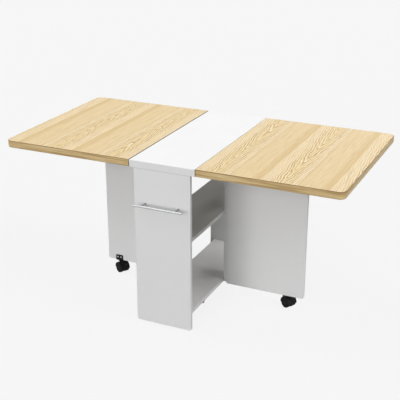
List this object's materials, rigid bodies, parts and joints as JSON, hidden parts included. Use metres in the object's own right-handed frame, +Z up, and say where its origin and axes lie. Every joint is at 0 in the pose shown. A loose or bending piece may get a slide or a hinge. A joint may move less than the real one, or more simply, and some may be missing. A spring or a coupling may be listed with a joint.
{
  "type": "folding table",
  "caption": "Folding kitchen table: a narrow open shelf cabinet on casters with hinged leaves held up by swinging gate panels.",
  "frame": {"origin": "on the floor, under the middle of the overall box (the table's middle lies 22.5 mm towards +Y, because only the -Y end has a handle)", "axes": "+X from leaf to leaf, +Y away from the handle end, +Z up"},
  "size_m": [1.54, 0.845, 0.75],
  "materials": {
    "white_board": "satin white melamine on particle board",
    "ash_laminate": "matte light ash woodgrain laminate",
    "edge_band": "matte woodgrain edge band",
    "handle_steel": "brushed",
    "zinc_steel": "bright zinc plate",
    "cam_zinc": "die-cast zinc",
    "beech": "bare fluted beech",
    "white_nylon": "moulded",
    "black_steel": "black powder coat",
    "caster_nylon": "moulded black nylon",
    "caster_wheel": "moulded black nylon tread"
  },
  "bodies": {
    "cabinet": {"centre_top": "white_board", "front_end_panel": "white_board", "rear_end_panel": "white_board", "middle_shelf": "white_board", "bottom_shelf": "white_board", "right_hinge_post": "white_board", "left_hinge_post": "white_board", "handle_bar": "handle_steel", "handle_standoffs": "handle_steel", "handle_screws": "zinc_steel", "cam_housings": "cam_zinc", "cam_bolts": "zinc_steel", "dowels": "beech", "post_angle_brackets": "zinc_steel", "cabinet_screws": "zinc_steel", "leaf_hinge_fixed_plates": "zinc_steel", "leaf_hinge_pins": "zinc_steel", "gate_hinge_fixed_plates": "zinc_steel", "gate_hinge_pins": "zinc_steel", "cabinet_caster_plates": "black_steel"},
    "right_leaf": {"right_leaf_board": "ash_laminate", "right_leaf_edge_band": "edge_band", "right_leaf_hinge_plates": "zinc_steel", "right_leaf_hinge_screws": "zinc_steel"},
    "right_gate": {"right_gate_panel": "white_board", "right_gate_hinge_plates": "zinc_steel", "right_gate_hinge_screws": "zinc_steel", "right_gate_glide": "white_nylon", "right_gate_caster_bracket": "black_steel", "right_gate_bracket_screws": "zinc_steel"},
    "right_gate_caster": {"right_gate_caster_body": "caster_nylon", "right_gate_caster_axle": "zinc_steel"},
    "right_gate_wheels": {"right_gate_caster_wheels": "caster_wheel"},
    "right_brake_lever": {"right_gate_brake_lever": "caster_nylon"},
    "left_leaf": {"left_leaf_board": "ash_laminate", "left_leaf_edge_band": "edge_band", "left_leaf_hinge_plates": "zinc_steel", "left_leaf_hinge_screws": "zinc_steel"},
    "left_gate": {"left_gate_panel": "white_board", "left_gate_hinge_plates": "zinc_steel", "left_gate_hinge_screws": "zinc_steel", "left_gate_glide": "white_nylon", "left_gate_caster_bracket": "black_steel", "left_gate_bracket_screws": "zinc_steel"},
    "left_gate_caster": {"left_gate_caster_body": "caster_nylon", "left_gate_caster_axle": "zinc_steel"},
    "left_gate_wheels": {"left_gate_caster_wheels": "caster_wheel"},
    "left_brake_lever": {"left_gate_brake_lever": "caster_nylon"},
    "front_right_caster": {"front_right_caster_body": "caster_nylon", "front_right_caster_axle": "zinc_steel"},
    "front_right_wheels": {"front_right_caster_wheels": "caster_wheel"},
    "rear_right_caster": {"rear_right_caster_body": "caster_nylon", "rear_right_caster_axle": "zinc_steel"},
    "rear_right_wheels": {"rear_right_caster_wheels": "caster_wheel"},
    "rear_left_caster": {"rear_left_caster_body": "caster_nylon", "rear_left_caster_axle": "zinc_steel"},
    "rear_left_wheels": {"rear_left_caster_wheels": "caster_wheel"},
    "front_left_caster": {"front_left_caster_body": "caster_nylon", "front_left_caster_axle": "zinc_steel"},
    "front_left_wheels": {"front_left_caster_wheels": "caster_wheel"}
  },
  "joints": [
    {"name": "right_leaf_lift", "type": "hinge", "parent": "cabinet", "child": "right_leaf", "pos_m": [0.1515, 0.0225, 0.71625], "axis": [0, -1, 0], "range_deg": [0, 3]},
    {"name": "right_gate_swing", "type": "hinge", "parent": "cabinet", "child": "right_gate", "pos_m": [0.13175, 0.02425, 0.386], "axis": [0, 0, 1], "range_deg": [0, 90]},
    {"name": "right_gate_caster_swivel", "type": "hinge", "parent": "right_gate", "child": "right_gate_caster", "pos_m": [0.447, 0.0145, 0.045], "axis": [0, 0, 1], "continuous": true},
    {"name": "right_gate_wheel_roll", "type": "hinge", "parent": "right_gate_caster", "child": "right_gate_wheels", "pos_m": [0.43228, 0.023, 0.025], "axis": [-0.5, -0.866, 0], "continuous": true},
    {"name": "right_brake_press", "type": "hinge", "parent": "right_gate_caster", "child": "right_brake_lever", "pos_m": [0.40993, 0.0359, 0.04307], "axis": [-0.5, -0.866, 0], "range_deg": [0, 20]},
    {"name": "left_leaf_lift", "type": "hinge", "parent": "cabinet", "child": "left_leaf", "pos_m": [-0.1515, 0.0225, 0.71625], "axis": [0, 1, 0], "range_deg": [0, 3]},
    {"name": "left_gate_swing", "type": "hinge", "parent": "cabinet", "child": "left_gate", "pos_m": [-0.13175, 0.02075, 0.386], "axis": [0, 0, 1], "range_deg": [0, 90]},
    {"name": "left_gate_caster_swivel", "type": "hinge", "parent": "left_gate", "child": "left_gate_caster", "pos_m": [-0.447, 0.0305, 0.045], "axis": [0, 0, 1], "continuous": true},
    {"name": "left_gate_wheel_roll", "type": "hinge", "parent": "left_gate_caster", "child": "left_gate_wheels", "pos_m": [-0.43228, 0.022, 0.025], "axis": [0.5, 0.866, 0], "continuous": true},
    {"name": "left_brake_press", "type": "hinge", "parent": "left_gate_caster", "child": "left_brake_lever", "pos_m": [-0.40993, 0.0091, 0.04307], "axis": [0.5, 0.866, 0], "range_deg": [0, 20]},
    {"name": "front_right_caster_swivel", "type": "hinge", "parent": "cabinet", "child": "front_right_caster", "pos_m": [0.057, -0.1375, 0.045], "axis": [0, 0, 1], "continuous": true},
    {"name": "front_right_wheel_roll", "type": "hinge", "parent": "front_right_caster", "child": "front_right_wheels", "pos_m": [0.04607, -0.12448, 0.025], "axis": [-0.766, -0.6428, 0], "continuous": true},
    {"name": "rear_right_caster_swivel", "type": "hinge", "parent": "cabinet", "child": "rear_right_caster", "pos_m": [0.057, 0.1825, 0.045], "axis": [0, 0, 1], "continuous": true},
    {"name": "rear_right_wheel_roll", "type": "hinge", "parent": "rear_right_caster", "child": "rear_right_wheels", "pos_m": [0.04607, 0.16948, 0.025], "axis": [0.766, -0.6428, 0], "continuous": true},
    {"name": "rear_left_caster_swivel", "type": "hinge", "parent": "cabinet", "child": "rear_left_caster", "pos_m": [-0.057, 0.1825, 0.045], "axis": [0, 0, 1], "continuous": true},
    {"name": "rear_left_wheel_roll", "type": "hinge", "parent": "rear_left_caster", "child": "rear_left_wheels", "pos_m": [-0.04607, 0.16948, 0.025], "axis": [0.766, 0.6428, 0], "continuous": true},
    {"name": "front_left_caster_swivel", "type": "hinge", "parent": "cabinet", "child": "front_left_caster", "pos_m": [-0.057, -0.1375, 0.045], "axis": [0, 0, 1], "continuous": true},
    {"name": "front_left_wheel_roll", "type": "hinge", "parent": "front_left_caster", "child": "front_left_wheels", "pos_m": [-0.04607, -0.12448, 0.025], "axis": [-0.766, 0.6428, 0], "continuous": true}
  ]
}
